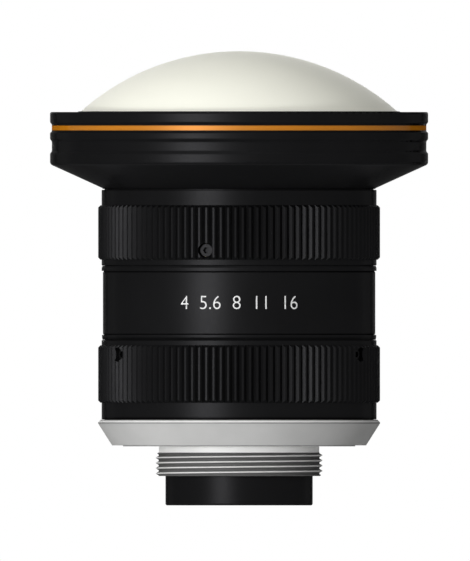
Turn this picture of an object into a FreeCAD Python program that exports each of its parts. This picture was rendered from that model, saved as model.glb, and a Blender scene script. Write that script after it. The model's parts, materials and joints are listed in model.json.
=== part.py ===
import FreeCAD, Part
import math
import os
from FreeCAD import Vector

# C-mount lens with a domed first element. Millimetres, +Z along the optical axis towards the front,
# origin at the centre of the rear end, so the lens stands on its rear barrel.

# Clearances
RUN = 0.05                  # radial play of a running or sliding fit
FACE_GAP = 0.03             # axial gap between a turning ring and its neighbour
GLASS_GAP = 0.02            # cement line, and seat of a lens element on its spacer
GLASS_PLAY = 0.05           # radial play of an element or spacer in its cell
SCREW_PLAY = 0.17           # round a lock screw, standing for the thread depth
STOP_PLAY = 0.1             # left at the end of a slot when a ring reaches its stop
STEP_PLAY = 0.1             # radial play beside the hidden steps and the dust skirt
OVERCUT = 1.0               # how far a cutting tool runs past what it cuts

# Grips and sleeve: outer radii, from the plain skirts of the two rings
SKIRT_R = 20.97
KNURL_RISE = 0.53           # knurl stands this far above a skirt
SLEEVE_DROP = 0.19          # fixed sleeve lies this far below a skirt
LINE_DEPTH = 0.15           # fine lines beside the sleeve
IRIS_BAND_DROP = 0.05
BAND_LINE_DROP = 0.15       # line between a band and its ring
SKIRT_EDGE = 0.1            # chamfer at the ends of the two rings
JOINT_RISE = 0.3            # hidden step that closes the joint between a ring and its neighbour
JOINT_WALL = 0.35           # skirt left outside that step
HOOD_FOOT_DROP = 0.07
GROOVE_COUNT = 120
GROOVE_DEPTH = 0.43
GROOVE_ANGLE = 90
GROOVE_OVERCUT = 0.05
KNURL_CHAMFER = 0.35

# Walls between the grips and the axis
IRIS_RING_WALL = 2.32
JOURNAL_WALL = 2.0
FOCUS_WALL = 1.17
NUT_WALL = 0.75
NUT_LEDGE = 1.0             # step from the nut's thread in to the pilot
RING_PLAY = 0.15            # between the retaining ring and the nut
PILOT_STEP = 0.6
PILOT_WALL = 2.75
TAIL_WALL = 3.0
NECK_STEP = 0.75            # shoulder that the hood sits on
NECK_WALL = 2.2

# C-mount and rear barrel
THREAD_R = 12.7             # 1 inch - 32 UN, major radius
THREAD_LENGTH = 3.57
THREAD_CHAMFER = 0.35
THREAD_WALL = 1.42
NECK_DEPTH = 0.47
NECK_LENGTH = 0.95
CONE_RUN = 2.13             # how far the cone flares out
CONE_HEIGHT = 3.35
SEAT_STEP = 1.67            # from the cone's foot in to the raised seat
SEAT_RAISE = 0.15
SEAT_RELIEF = 0.15          # depth of the turned relief where the seat meets the neck
SEAT_RELIEF_CLEAR = 0.15    # relief reaches out past the thread by this
RIM_BAND = 0.18
RIM_CHAMFER = 0.4
MOUNT_FLOOR = 2.0           # plate between the seat and the shim
SHIM = 0.2
SHIM_STEP = 0.3             # shim's bore clears the iris bore by this
REAR_REACH = 4.48           # how far the rear barrel stands out behind the thread
REAR_EDGE = 0.3             # rounding of its rear edge
REAR_WALL = 1.63
REAR_LIP = 1.0              # thickness of the lip behind the last element
REAR_LIP_WIDTH = 1.3
REAR_MOUTH = 1.1            # the lip flares this far
REAR_FLANGE = 1.4
REAR_FLANGE_PLAY = 0.6

# Grooves, bands and ends along the barrel
SLEEVE_LENGTH = 9.3
LOWER_LINE = 0.2
UPPER_LINE = 0.25
PILOT_END = 0.5             # pilot left above its retaining ring

# Iris ring and the band over it
IRIS_LOWER_SKIRT = 2.55
IRIS_KNURL = 8.77
IRIS_UPPER_SKIRT = 0.8
IRIS_LINE = 0.35
IRIS_BAND = 0.4
IRIS_TRAVEL = 45            # degrees from open to closed
IRIS_SCREW_HEIGHT = 9.9     # above the ring's lower face
IRIS_SCREW_ANGLES = [-30, 210, 90]

# Focus ring and the band under it
FOCUS_BAND = 0.49
FOCUS_LINE = 0.3
FOCUS_LOWER_SKIRT = 0.89
FOCUS_KNURL = 8.31
FOCUS_UPPER_SKIRT = 2.36
FOCUS_SCREW_HEIGHT = 2.33
FOCUS_SCREW_ANGLES = [-104, 16, 136]

# Helicoid
NUT_FLANGE = 3.63           # part of the nut that runs on the pilot
NUT_SHORT = 0.35            # nut ends this far below the grip's top
RETAINING_RING = 1.45
FRONT_TRAVEL = 0.6          # the front group moves out this far
SKIRT_COVER = 0.2           # dust skirt still reaches this far into the focus ring when it is out
SKIRT_CLEAR = 0.15          # between the skirt's flange and the nut
STEP_GAP = 0.4              # between the pilot's end and the front cell's step
GUIDE_PIN_R = 0.75
GUIDE_PIN_TIP = 0.2         # between a pin's end and the floor of its slot
GUIDE_PIN_HEIGHT = 1.2      # above the focus thrust ring
GUIDE_SLOT_DEPTH = 1.4

# Lock screws
SCREW_R = 0.95
SCREW_SINK = 0.8            # outer end below the knurl's crest
SOCKET_FLATS = 0.9
SOCKET_DEPTH = 0.8

# Diaphragm
BLADE_COUNT = 6
BLADE = 0.2
BLADE_PITCH = 0.3           # height between neighbouring blades
BLADE_SPACE = 0.15          # under the lowest and over the highest
OPEN_R = 5.15               # inner edge of a blade when open
BLADE_FROM = 14             # degrees from the pivot to each end of the band
BLADE_TO = -128
BLADE_TURN = 18             # degrees that a blade turns over the ring's travel
BLADE_INSET = 3.0           # from the pivot circle in to the band's outer edge
PIVOT_INSET = 2.6           # from the housing's rim in to the pivot circle
PIVOT_R = 0.5
PIVOT_EAR_R = 1.3
CAM_ARM = 3.2               # from the pivot to the cam stud
CAM_STUD_R = 0.45
CAM_EAR_R = 1.0
ACTUATOR = 1.6
ACTUATOR_INSET = 1.9        # from the pivot circle in to the actuator's bore
HOUSING_FLOOR = 1.5
HOUSING_WALL = 0.6
HOUSING_LIP = 0.65          # floor's hole clears the open blades by this
HOUSING_TOP = 0.6           # rim above the actuator
IRIS_RETAINER = 1.4
IRIS_RETAINER_WIDTH = 2.2
DRIVE_PIN_R = 0.6
DRIVE_PIN_GRIP = 1.6        # depth of the pin's hole in the actuator
DRIVE_HEAD_R = 1.05
DRIVE_HEAD = 0.5

# Rear cell screws
CELL_SCREW_R = 0.75
CELL_SCREW_HEAD_R = 1.4
CELL_SCREW_HEAD = 0.8
CELL_SCREW_GRIP = 1.3       # length in the mount's floor
CELL_SCREW_ANGLES = [0, 120, 240]

# Hood
SEAM = 0.12                 # between the focus ring and the hood at rest
HOOD_FOOT = 0.15
HOOD_R = 28.84
HOOD_CONE = 3.62
HOOD_EDGE = 0.3             # rounding of the rim
LOWER_LAND_EDGE = 0.6       # rounding between the cone and the lower land
LOWER_LAND = 1.48
GROOVE_SINK = 0.27          # depth of the wide groove
GROOVE_SHOULDER = 0.65
GROOVE_FLOOR = 1.2
BEAD = 0.7
ACCENT_SHOULDER = 0.48
ACCENT_SINK = 0.27          # accent ring lies this far below the lands
ACCENT_WIDTH = 0.76
ACCENT_THICKNESS = 0.96
ACCENT_PLAY = 0.03
UPPER_SHOULDER = 0.6
UPPER_LAND = 1.46
CELL_TOP = 0.5              # cell's neck ends this far below the first element
HOOD_SEAT_DEPTH = 4.0       # from the rim to the first element's seat
HOOD_WALL = 3.24            # outside the retainer's thread
RETAINER_DEPTH = 1.4
RETAINER_WALL = 0.95
LIP = 0.1                   # lip of the retainer above the rim
LIP_HOLD = 0.47             # lip reaches in over the first element by this
LIP_WIDTH = 0.3

# First element
DOME_CURVE = 36.3
DOME_BACK_CURVE = 17.5
DOME_THICKNESS = 2.5

# Inner front elements: curves, and thickness at the centre or, of a doublet's crown, at the edge
SECOND_SEAT = 7.4           # from the second element's seat up to the first element's seat
SECOND_FRONT_CURVE = 24.0
SECOND_BACK_CURVE = 10.5
SECOND_HOLLOW = 7.0
SECOND_THICKNESS = 1.9
SECOND_RETAINER = 1.7
SECOND_RETAINER_WIDTH = 1.8
FRONT_LIP = 1.0
FRONT_LIP_WIDTH = 2.6
TAIL_CLEAR = 1.6            # from the iris bore's end to the tail
CROWN_BACK_CURVE = 25.0
CROWN_EDGE = 1.46
FRONT_CEMENT_CURVE = 26.0
FLINT_THICKNESS = 1.5
FLINT_FRONT_CURVE = 60.0
FRONT_SPACER = 2.2
FRONT_SPACER_WIDTH = 1.2
THIRD_BACK_CURVE = 18.0
THIRD_HOLLOW = 2.71
THIRD_FRONT_CURVE = 40.0
THIRD_THICKNESS = 1.5
THIRD_RETAINER = 1.5
THIRD_RETAINER_WIDTH = 1.3

# Rear elements, from the rear
LAST_BACK_CURVE = 60.0
LAST_EDGE = 0.66
LAST_FRONT_CURVE = 22.0
REAR_AIR = 0.46             # between the vertices on each side of the rear spacer
REAR_SPACER_WIDTH = 0.9
REAR_CROWN_CURVE = 30.0
REAR_CROWN_EDGE = 0.8
REAR_CEMENT_CURVE = 20.0
REAR_FLINT_THICKNESS = 1.2
REAR_FLINT_CURVE = 40.0
UPPER_AIR = 0.51            # between the vertices on each side of the upper spacer
INNER_BACK_CURVE = 28.0
INNER_EDGE = 0.69
INNER_FRONT_CURVE = 35.0
REAR_RETAINER = 1.3
REAR_TOP = 0.1              # barrel left above its retainer

# Radii that follow from the sizes above
GRIP_R = SKIRT_R + KNURL_RISE
SLEEVE_R = SKIRT_R - SLEEVE_DROP
LINE_R = SLEEVE_R - LINE_DEPTH
IRIS_BAND_R = SKIRT_R - IRIS_BAND_DROP
BAND_LINE_R = SKIRT_R - BAND_LINE_DROP
JOINT_R = SKIRT_R - JOINT_WALL
JOINT_STEP_R = JOINT_R - STEP_PLAY
JOURNAL_R = SKIRT_R - IRIS_RING_WALL - RUN
IRIS_BORE_R = JOURNAL_R - JOURNAL_WALL
FOCUS_BORE_R = SKIRT_R - FOCUS_WALL
NUT_R = FOCUS_BORE_R - RUN
NUT_THREAD_R = NUT_R - NUT_WALL
RETAINING_RING_R = NUT_THREAD_R - RING_PLAY
PILOT_R = NUT_THREAD_R - NUT_LEDGE
PILOT_THREAD_R = PILOT_R - PILOT_STEP
TAIL_R = PILOT_THREAD_R - PILOT_WALL - RUN
FRONT_CELL_R = TAIL_R - TAIL_WALL
GUIDE_SLOT_R = TAIL_R - GUIDE_SLOT_DEPTH
FRONT_THREAD_R = NUT_THREAD_R - RUN
CELL_NECK_R = FRONT_THREAD_R - NECK_STEP
SECOND_CELL_R = CELL_NECK_R - NECK_WALL
SCREW_HEAD_R = GRIP_R - SCREW_SINK

MOUNT_R = GRIP_R
CONE_FOOT_R = MOUNT_R - CONE_RUN
SEAT_R = CONE_FOOT_R - SEAT_STEP
NECK_R = THREAD_R - NECK_DEPTH
REAR_BARREL_R = THREAD_R - THREAD_WALL - RUN
REAR_CELL_R = REAR_BARREL_R - REAR_WALL
REAR_LIP_R = REAR_CELL_R - REAR_LIP_WIDTH
REAR_SPACER_R = REAR_CELL_R - REAR_SPACER_WIDTH
REAR_FLANGE_R = IRIS_BORE_R - REAR_FLANGE_PLAY
CELL_SCREW_CIRCLE_R = (REAR_BARREL_R + REAR_FLANGE_R) / 2

HOUSING_RIM_R = IRIS_BORE_R - HOUSING_WALL
ACTUATOR_R = HOUSING_RIM_R - 2 * RUN
PIVOT_CIRCLE_R = HOUSING_RIM_R - PIVOT_INSET
BLADE_OUTER_R = PIVOT_CIRCLE_R - BLADE_INSET
ACTUATOR_BORE_R = PIVOT_CIRCLE_R - ACTUATOR_INSET
HOUSING_HOLE_R = OPEN_R + HOUSING_LIP
DRIVE_TIP_R = ACTUATOR_R - DRIVE_PIN_GRIP

HOOD_FOOT_R = SKIRT_R - HOOD_FOOT_DROP
GROOVE_R = HOOD_R - GROOVE_SINK
ACCENT_R = HOOD_R - ACCENT_SINK
ACCENT_BED_R = ACCENT_R - ACCENT_THICKNESS
RETAINER_R = HOOD_R - HOOD_WALL
FIRST_CELL_R = RETAINER_R - RETAINER_WALL
DOME_EDGE_R = FIRST_CELL_R - GLASS_PLAY
LIP_R = FIRST_CELL_R - LIP_HOLD

# Heights that follow from the sizes above
THREAD_Z = REAR_REACH
NECK_Z = THREAD_Z + THREAD_LENGTH
SEAT_Z = NECK_Z + NECK_LENGTH
CONE_Z = SEAT_Z + SEAT_RAISE
FLOOR_Z = SEAT_Z + MOUNT_FLOOR
BARREL_Z = FLOOR_Z + SHIM
MOUNT_TOP_Z = CONE_Z + CONE_HEIGHT + RIM_BAND + RIM_CHAMFER

IRIS_Z = MOUNT_TOP_Z + FACE_GAP
IRIS_KNURL_Z = IRIS_Z + IRIS_LOWER_SKIRT
IRIS_TOP_Z = IRIS_KNURL_Z + IRIS_KNURL + IRIS_UPPER_SKIRT
IRIS_SCREW_Z = IRIS_Z + IRIS_SCREW_HEIGHT
IRIS_BAND_Z = IRIS_TOP_Z + FACE_GAP
SLEEVE_Z = IRIS_BAND_Z + IRIS_LINE + IRIS_BAND
SLEEVE_TOP_Z = SLEEVE_Z + LOWER_LINE + SLEEVE_LENGTH + UPPER_LINE

FOCUS_BAND_Z = SLEEVE_TOP_Z
FOCUS_Z = FOCUS_BAND_Z + FOCUS_BAND + FOCUS_LINE + FACE_GAP
FOCUS_KNURL_Z = FOCUS_Z + FOCUS_LOWER_SKIRT
FOCUS_TOP_Z = FOCUS_KNURL_Z + FOCUS_KNURL + FOCUS_UPPER_SKIRT
FOCUS_SCREW_Z = FOCUS_Z + FOCUS_SCREW_HEIGHT
RING_Z = FOCUS_Z + NUT_FLANGE + RUN
NUT_Z = FOCUS_Z + JOINT_RISE
NUT_TOP_Z = FOCUS_TOP_Z - NUT_SHORT
PILOT_TOP_Z = RING_Z + RETAINING_RING + PILOT_END
STEP_Z = PILOT_TOP_Z + STEP_GAP
GUIDE_Z = FOCUS_BAND_Z + FOCUS_BAND + FOCUS_LINE + GUIDE_PIN_HEIGHT

ACTUATOR_Z = IRIS_SCREW_Z - ACTUATOR / 2
IRIS_BORE_END_Z = ACTUATOR_Z + ACTUATOR + HOUSING_TOP
BLADE_STACK = (BLADE_COUNT - 1) * BLADE_PITCH + BLADE + 2 * BLADE_SPACE
HOUSING_FLOOR_Z = ACTUATOR_Z - BLADE_STACK
HOUSING_Z = HOUSING_FLOOR_Z - HOUSING_FLOOR
IRIS_RETAINER_Z = HOUSING_Z - IRIS_RETAINER

HOOD_Z = FOCUS_TOP_Z + SEAM
DUST_SKIRT_Z = HOOD_Z - SEAM - FRONT_TRAVEL - SKIRT_COVER
HOOD_CONE_Z = HOOD_Z + HOOD_FOOT
LOWER_LAND_Z = HOOD_CONE_Z + HOOD_CONE
GROOVE_Z = LOWER_LAND_Z + LOWER_LAND
BEAD_Z = GROOVE_Z + 2 * GROOVE_SHOULDER + GROOVE_FLOOR
ACCENT_SHOULDER_Z = BEAD_Z + BEAD
ACCENT_Z = ACCENT_SHOULDER_Z + ACCENT_SHOULDER
UPPER_SHOULDER_Z = ACCENT_Z + ACCENT_WIDTH
UPPER_LAND_Z = UPPER_SHOULDER_Z + UPPER_SHOULDER
RIM_Z = UPPER_LAND_Z + UPPER_LAND
HOOD_SEAT_Z = RIM_Z - HOOD_SEAT_DEPTH
RETAINER_Z = RIM_Z - RETAINER_DEPTH
LIP_Z = RIM_Z + LIP
SECOND_SEAT_Z = HOOD_SEAT_Z - SECOND_SEAT
TAIL_Z = IRIS_BORE_END_Z + TAIL_CLEAR

AXIS = Vector(0, 0, 1)
ORIGIN = Vector(0, 0, 0)


# Drawing helpers

def sag(curve, r):
    """Depth of a spherical surface at radius r."""
    return curve - math.sqrt(curve * curve - r * r)


def hollow_r(curve, depth):
    """Radius at which a spherical hollow reaches a depth."""
    return math.sqrt(2 * curve * depth - depth * depth)


def surface_z(vertex, curve, r):
    """Height of a lens surface at radius r; a positive curve falls away towards the rear."""
    return vertex - math.copysign(sag(abs(curve), r), curve)


def vertex_on(seat_z, curve, r):
    """Vertex of a surface that rests on a seat at radius r."""
    return seat_z + math.copysign(sag(abs(curve), r), curve) + GLASS_GAP


def outline(steps):
    """Closed face in the XZ plane. A step of 2 numbers is a corner, one of 4 is an arc's middle and end."""
    first = Vector(steps[0][0], 0, steps[0][1])
    here = first
    edges = []
    for step in steps[1:]:
        there = Vector(step[-2], 0, step[-1])
        if len(step) == 4:
            edges.append(Part.Arc(here, Vector(step[0], 0, step[1]), there).toShape())
        else:
            edges.append(Part.LineSegment(here, there).toShape())
        here = there
    edges.append(Part.LineSegment(here, first).toShape())
    return Part.Face(Part.Wire(edges))


def turned(steps):
    """Solid turned about the optical axis."""
    return outline(steps).revolve(ORIGIN, AXIS, 360)


def tube(inner_r, outer_r, low, high):
    return turned([(inner_r, low), (outer_r, low), (outer_r, high), (inner_r, high)])


def rounded(before, corner, after, radius):
    """Two steps that round a corner: the straight up to the arc, then the arc."""
    here = Vector(corner[0], 0, corner[1])
    back = Vector(before[0], 0, before[1]).sub(here).normalize()
    ahead = Vector(after[0], 0, after[1]).sub(here).normalize()
    half = back.getAngle(ahead) / 2
    reach = radius / math.tan(half)
    start = here.add(back * reach)
    end = here.add(ahead * reach)
    middle = here.add(back.add(ahead).normalize() * (radius / math.sin(half) - radius))
    return [(start.x, start.z), (middle.x, middle.z, end.x, end.z)]


def straight_leaving_arc(land, end):
    """Middle of the arc that leaves a land straight along the axis and ends at a point beside it."""
    drop = land[0] - end[0]
    run = end[1] - land[1]
    radius = (run * run + drop * drop) / (2 * drop)
    half = math.atan2(drop, abs(run))
    return land[0] - radius * (1 - math.cos(half)), land[1] + math.copysign(radius * math.sin(half), run)


def shoulder(start, end):
    """Two steps that carry one land over into another beside it, without a corner."""
    middle = ((start[0] + end[0]) / 2, (start[1] + end[1]) / 2)
    return [straight_leaving_arc(start, middle) + middle, straight_leaving_arc(end, middle) + end]


def place_round(r, angle, z):
    """Point at a radius and an angle about the axis."""
    turn = math.radians(angle)
    return Vector(r * math.cos(turn), r * math.sin(turn), z)


def radial_rod(radius, inner_r, outer_r, angle, z):
    """Cylinder that points outwards from the axis."""
    direction = place_round(1, angle, 0)
    return Part.makeCylinder(radius, outer_r - inner_r, place_round(inner_r, angle, z), direction)


def sector(inner_r, outer_r, low, high, start, sweep):
    """Part of a tube between two angles."""
    face = outline([(inner_r, low), (outer_r, low), (outer_r, high), (inner_r, high)])
    piece = face.revolve(ORIGIN, AXIS, sweep)
    piece.rotate(ORIGIN, AXIS, start)
    return piece


def capsule(a, b, radius, low, high):
    """Upright plate shaped as a slot between two points."""
    along = b.sub(a)
    side = Vector(-along.y, along.x, 0).normalize().multiply(radius)
    end = Vector(along.x, along.y, 0).normalize().multiply(radius)
    base = Vector(0, 0, low)
    a0 = Vector(a.x, a.y, 0).add(base)
    b0 = Vector(b.x, b.y, 0).add(base)
    edges = [Part.LineSegment(a0.add(side), b0.add(side)).toShape(),
             Part.Arc(b0.add(side), b0.add(end), b0.sub(side)).toShape(),
             Part.LineSegment(b0.sub(side), a0.sub(side)).toShape(),
             Part.Arc(a0.sub(side), a0.sub(end), a0.add(side)).toShape()]
    return Part.Face(Part.Wire(edges)).extrude(Vector(0, 0, high - low))


def element(back_vertex, back_curve, back_r, front_vertex, front_curve, front_r, edge_r):
    """Lens element with its optical surfaces and, where a surface stops short, a flat annulus."""
    back_z = surface_z(back_vertex, back_curve, back_r)
    front_z = surface_z(front_vertex, front_curve, front_r)
    half_back = surface_z(back_vertex, back_curve, back_r / 2)
    half_front = surface_z(front_vertex, front_curve, front_r / 2)
    steps = [(0, back_vertex), (back_r / 2, half_back, back_r, back_z)]
    if back_r < edge_r:
        steps.append((edge_r, back_z))
    steps.append((edge_r, front_z))
    if front_r < edge_r:
        steps.append((front_r, front_z))
    steps.append((front_r / 2, half_front, 0, front_vertex))
    return turned(steps)


# Pieces that two nodes share

def screw_hole(angle, z, inner_r):
    return radial_rod(SCREW_R + SCREW_PLAY, inner_r, GRIP_R + OVERCUT, angle, z)


def lock_screw(tip_r, angle, z):
    """Cup-point set screw with a hexagon socket."""
    body = radial_rod(SCREW_R, tip_r, SCREW_HEAD_R, 0, 0)
    corner = SOCKET_FLATS / math.sqrt(3)
    points = [Vector(0, corner * math.cos(math.radians(60 * i)), corner * math.sin(math.radians(60 * i)))
              for i in range(7)]
    socket = Part.Face(Part.makePolygon(points)).extrude(Vector(SOCKET_DEPTH, 0, 0))
    socket.translate(Vector(SCREW_HEAD_R - SOCKET_DEPTH, 0, 0))
    body = body.cut(socket)
    body.translate(Vector(0, 0, z))
    body.rotate(ORIGIN, AXIS, angle)
    return body


def knurl_grooves(low, high):
    """V-shaped cutters round the grip."""
    floor_r = GRIP_R - GROOVE_DEPTH
    mouth_r = GRIP_R + GROOVE_OVERCUT
    half = (mouth_r - floor_r) * math.tan(math.radians(GROOVE_ANGLE / 2))
    corners = [Vector(floor_r, 0, low), Vector(mouth_r, half, low), Vector(mouth_r, -half, low),
               Vector(floor_r, 0, low)]
    cutter = Part.Face(Part.makePolygon(corners)).extrude(Vector(0, 0, high - low))
    cutters = []
    for i in range(GROOVE_COUNT):
        copy = cutter.copy()
        copy.rotate(ORIGIN, AXIS, 360 * i / GROOVE_COUNT)
        cutters.append(copy)
    return Part.makeCompound(cutters)


def grip(bore_r, low, knurl_low, knurl_high, high, recess):
    """Ring with a plain skirt, a knurled band and another skirt, recessed behind both skirts' edges."""
    floor_low = low + JOINT_RISE
    floor_high = high - recess
    edge_r = SKIRT_R - SKIRT_EDGE
    ring = turned([(bore_r, floor_low), (JOINT_R, floor_low), (JOINT_R, low), (edge_r, low),
                   (SKIRT_R, low + SKIRT_EDGE), (SKIRT_R, knurl_low), (GRIP_R - KNURL_CHAMFER, knurl_low),
                   (GRIP_R, knurl_low + KNURL_CHAMFER), (GRIP_R, knurl_high - KNURL_CHAMFER),
                   (GRIP_R - KNURL_CHAMFER, knurl_high), (SKIRT_R, knurl_high),
                   (SKIRT_R, high - SKIRT_EDGE), (edge_r, high), (JOINT_R, high), (JOINT_R, floor_high),
                   (bore_r, floor_high)])
    return ring.cut(knurl_grooves(knurl_low - GROOVE_OVERCUT, knurl_high + GROOVE_OVERCUT))


# Mount and rear cell

def c_mount_ring():
    """Silver mount: thread, relief neck, raised seat and cone."""
    bore_r = REAR_BARREL_R + RUN
    cup_r = JOURNAL_R + RUN
    cone_top_z = CONE_Z + CONE_HEIGHT
    relief_r = THREAD_R + SEAT_RELIEF_CLEAR
    relief_z = SEAT_Z + SEAT_RELIEF
    ring = turned([(bore_r, THREAD_Z), (THREAD_R - THREAD_CHAMFER, THREAD_Z),
                   (THREAD_R, THREAD_Z + THREAD_CHAMFER), (THREAD_R, NECK_Z - THREAD_CHAMFER),
                   (THREAD_R - THREAD_CHAMFER, NECK_Z), (NECK_R, NECK_Z), (NECK_R, relief_z),
                   (relief_r, relief_z), (relief_r, SEAT_Z), (SEAT_R, SEAT_Z), (SEAT_R, CONE_Z),
                   (CONE_FOOT_R, CONE_Z), (MOUNT_R, cone_top_z), (MOUNT_R, cone_top_z + RIM_BAND),
                   (MOUNT_R - RIM_CHAMFER, MOUNT_TOP_Z), (JOINT_STEP_R, MOUNT_TOP_Z),
                   (JOINT_STEP_R, MOUNT_TOP_Z + JOINT_RISE), (cup_r, MOUNT_TOP_Z + JOINT_RISE),
                   (cup_r, FLOOR_Z), (bore_r, FLOOR_Z)])
    for angle in CELL_SCREW_ANGLES:
        centre = place_round(CELL_SCREW_CIRCLE_R, angle, FLOOR_Z - CELL_SCREW_GRIP)
        ring = ring.cut(Part.makeCylinder(CELL_SCREW_R, CELL_SCREW_GRIP, centre))
    return ring


def flange_shim():
    return tube(IRIS_BORE_R + SHIM_STEP, JOURNAL_R, FLOOR_Z, BARREL_Z)


def rear_stack():
    """Rear elements, spacer rings and retainer, stacked from the lip; returns shapes and the stack's top."""
    edge_r = REAR_CELL_R - GLASS_PLAY
    shapes = {}

    back = vertex_on(REAR_LIP, -LAST_BACK_CURVE, REAR_LIP_R)
    front = back + sag(LAST_BACK_CURVE, edge_r) + LAST_EDGE + sag(LAST_FRONT_CURVE, edge_r)
    shapes["rear_element"] = element(back, -LAST_BACK_CURVE, edge_r, front, LAST_FRONT_CURVE, edge_r, edge_r)

    low = surface_z(front, LAST_FRONT_CURVE, REAR_SPACER_R) + GLASS_GAP
    back = front + REAR_AIR
    top = surface_z(back, -REAR_CROWN_CURVE, REAR_SPACER_R) - GLASS_GAP
    shapes["rear_spacer"] = tube(REAR_SPACER_R, edge_r, low, top)

    front = back + sag(REAR_CROWN_CURVE, edge_r) + REAR_CROWN_EDGE + sag(REAR_CEMENT_CURVE, edge_r)
    shapes["rear_doublet_crown"] = element(back, -REAR_CROWN_CURVE, edge_r,
                                           front, REAR_CEMENT_CURVE, edge_r, edge_r)

    back = front + GLASS_GAP
    front = back + REAR_FLINT_THICKNESS
    shapes["rear_doublet_flint"] = element(back, REAR_CEMENT_CURVE, edge_r,
                                           front, -REAR_FLINT_CURVE, edge_r, edge_r)

    low = surface_z(front, -REAR_FLINT_CURVE, edge_r) + GLASS_GAP
    back = front + UPPER_AIR
    top = surface_z(back, -INNER_BACK_CURVE, REAR_SPACER_R) - GLASS_GAP
    shapes["rear_upper_spacer"] = tube(REAR_SPACER_R, edge_r, low, top)

    front = back + sag(INNER_BACK_CURVE, edge_r) + INNER_EDGE + sag(INNER_FRONT_CURVE, edge_r)
    shapes["rear_inner_element"] = element(back, -INNER_BACK_CURVE, edge_r,
                                           front, INNER_FRONT_CURVE, edge_r, edge_r)

    low = surface_z(front, INNER_FRONT_CURVE, REAR_SPACER_R) + GLASS_GAP
    top = low + REAR_RETAINER
    shapes["rear_retainer"] = tube(REAR_SPACER_R, REAR_CELL_R, low, top)
    return shapes, top


def rear_barrel(stack_top):
    """Black cell behind the mount, with the flange that the mount holds."""
    top = stack_top + REAR_TOP
    flange_top = FLOOR_Z + REAR_FLANGE
    round_mid = REAR_EDGE * (1 - math.sqrt(0.5))
    barrel = turned([(REAR_LIP_R + REAR_MOUTH, 0), (REAR_BARREL_R - REAR_EDGE, 0),
                     (REAR_BARREL_R - round_mid, round_mid, REAR_BARREL_R, REAR_EDGE),
                     (REAR_BARREL_R, FLOOR_Z), (REAR_FLANGE_R, FLOOR_Z), (REAR_FLANGE_R, flange_top),
                     (REAR_BARREL_R, flange_top), (REAR_BARREL_R, top), (REAR_CELL_R, top),
                     (REAR_CELL_R, REAR_LIP), (REAR_LIP_R, REAR_LIP)])
    for angle in CELL_SCREW_ANGLES:
        centre = place_round(CELL_SCREW_CIRCLE_R, angle, FLOOR_Z)
        barrel = barrel.cut(Part.makeCylinder(CELL_SCREW_R, REAR_FLANGE, centre))
    return barrel


def rear_cell_screws():
    """Three pan-head screws through the rear cell's flange."""
    screws = []
    head_z = FLOOR_Z + REAR_FLANGE
    for angle in CELL_SCREW_ANGLES:
        foot = place_round(CELL_SCREW_CIRCLE_R, angle, FLOOR_Z - CELL_SCREW_GRIP)
        shank = Part.makeCylinder(CELL_SCREW_R, CELL_SCREW_GRIP + REAR_FLANGE, foot)
        head = Part.makeCylinder(CELL_SCREW_HEAD_R, CELL_SCREW_HEAD,
                                 place_round(CELL_SCREW_CIRCLE_R, angle, head_z))
        screws.append(shank.fuse(head).removeSplitter())
    return Part.makeCompound(screws)


# Barrel, its bands and the guide pins

def travel_slot(width_r, inner_r, outer_r, low, high, mean_r):
    """Slot round part of a wall for the drive pin, with room at both stops."""
    play = math.degrees((width_r + STOP_PLAY) / mean_r)
    return sector(inner_r, outer_r, low, high, IRIS_SCREW_ANGLES[2] - play, IRIS_TRAVEL + 2 * play)


def main_barrel():
    """Fixed body: iris journal, plain sleeve that carries the scale, and the pilot of the helicoid."""
    sleeve_low = SLEEVE_Z + LOWER_LINE
    sleeve_high = sleeve_low + SLEEVE_LENGTH
    barrel = turned([(IRIS_BORE_R, BARREL_Z), (JOURNAL_R, BARREL_Z), (JOURNAL_R, SLEEVE_Z),
                     (LINE_R, SLEEVE_Z), (SLEEVE_R, sleeve_low), (SLEEVE_R, sleeve_high),
                     (LINE_R, SLEEVE_TOP_Z),
                     (PILOT_R, SLEEVE_TOP_Z), (PILOT_R, RING_Z), (PILOT_THREAD_R, RING_Z),
                     (PILOT_THREAD_R, PILOT_TOP_Z), (TAIL_R + RUN, PILOT_TOP_Z),
                     (TAIL_R + RUN, IRIS_BORE_END_Z), (IRIS_BORE_R, IRIS_BORE_END_Z)])
    half = DRIVE_PIN_R + RUN
    barrel = barrel.cut(travel_slot(half, IRIS_BORE_R - OVERCUT, JOURNAL_R + OVERCUT, IRIS_SCREW_Z - half,
                                    IRIS_SCREW_Z + half, IRIS_BORE_R))
    for angle in (0, 180):
        barrel = barrel.cut(radial_rod(GUIDE_PIN_R, TAIL_R - OVERCUT, PILOT_R + OVERCUT, angle, GUIDE_Z))
    return barrel


def guide_pins():
    tip_r = GUIDE_SLOT_R + GUIDE_PIN_TIP
    return Part.makeCompound([radial_rod(GUIDE_PIN_R, tip_r, PILOT_R - 2 * RUN, angle, GUIDE_Z)
                              for angle in (0, 180)])


def iris_thrust_ring():
    """Thin band over the iris ring, with a foot that enters the ring's recess."""
    foot_z = IRIS_BAND_Z - JOINT_RISE
    band_z = IRIS_BAND_Z + IRIS_LINE
    return turned([(JOURNAL_R, foot_z), (JOINT_STEP_R, foot_z), (JOINT_STEP_R, IRIS_BAND_Z),
                   (BAND_LINE_R, IRIS_BAND_Z), (IRIS_BAND_R, band_z),
                   (IRIS_BAND_R, SLEEVE_Z), (JOURNAL_R, SLEEVE_Z)])


def focus_thrust_ring():
    """Thin band under the focus ring, with a step that enters the ring's recess."""
    band_top = FOCUS_BAND_Z + FOCUS_BAND
    line_top = band_top + FOCUS_LINE
    step_top = line_top + JOINT_RISE
    return turned([(PILOT_R, FOCUS_BAND_Z), (SKIRT_R, FOCUS_BAND_Z), (SKIRT_R, band_top),
                   (BAND_LINE_R, line_top), (JOINT_STEP_R, line_top),
                   (JOINT_STEP_R, step_top), (PILOT_R, step_top)])


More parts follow.
